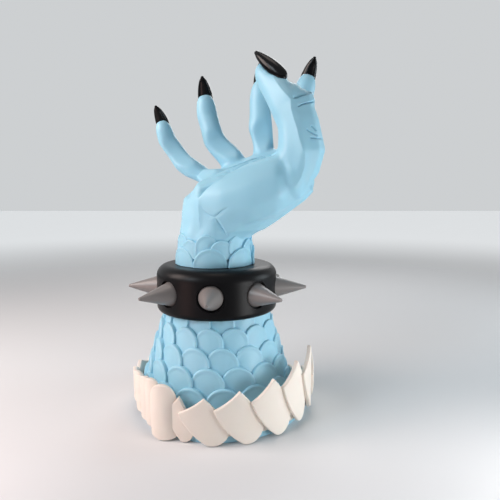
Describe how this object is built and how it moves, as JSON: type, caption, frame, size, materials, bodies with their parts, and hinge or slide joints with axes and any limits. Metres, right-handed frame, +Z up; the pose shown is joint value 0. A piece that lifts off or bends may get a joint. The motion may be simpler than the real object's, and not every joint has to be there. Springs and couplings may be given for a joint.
{
  "type": "game controller stand",
  "caption": "Display stand for a game controller: a scaled forearm on a round foot, a spiked cuff, and a clawed hand that holds the controller between its thumb and fingers.",
  "frame": {"origin": "on the axis of the arm and the cuff, on the surface that the stand rests on", "axes": "+Z up along the forearm, -Y towards the viewer and the thumb, +X to the viewer's right"},
  "size_m": [0.13, 0.1271, 0.2396],
  "materials": {
    "pale_blue": "matte printed plastic, pale icy blue",
    "cuff_black": "semi-gloss black plastic",
    "spike_grey": "satin warm grey plastic",
    "ruff_white": "matte warm white plastic",
    "claw_black": "glossy black plastic"
  },
  "bodies": {
    "root": {"forearm": "pale_blue", "cuff": "cuff_black", "spike_1": "spike_grey", "spike_2": "spike_grey", "spike_3": "spike_grey", "spike_4": "spike_grey", "spike_5": "spike_grey", "spike_6": "spike_grey", "spike_7": "spike_grey", "spike_8": "spike_grey", "ruff": "ruff_white", "hand": "pale_blue", "claw_thumb": "claw_black", "claw_little": "claw_black", "claw_ring": "claw_black", "claw_middle": "claw_black", "claw_index": "claw_black"}
  },
  "joints": []
}
